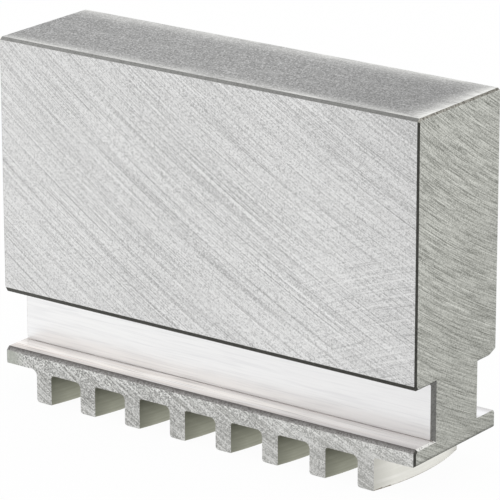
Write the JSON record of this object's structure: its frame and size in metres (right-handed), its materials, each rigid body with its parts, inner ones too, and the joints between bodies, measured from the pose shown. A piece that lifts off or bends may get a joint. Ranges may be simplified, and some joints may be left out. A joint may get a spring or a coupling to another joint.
{
  "type": "machinable soft jaw",
  "caption": "One-piece soft jaw for a scroll chuck: a plain machinable steel block on a grooved guide bar, with curved scroll teeth underneath.",
  "frame": {"origin": "bottom centre of the jaw: midway along, midway across, at the level of the tooth tips", "axes": "+X from the gripping end outwards along the jaw, +Y across it, +Z from the teeth up through the machinable block"},
  "size_m": [0.071, 0.0196, 0.0532],
  "materials": {
    "steel": "bare soft steel: ground grooves, cross-scratched flanks, satin top, sawn-grey teeth"
  },
  "bodies": {
    "root": {"soft_jaw": "steel"}
  },
  "joints": []
}
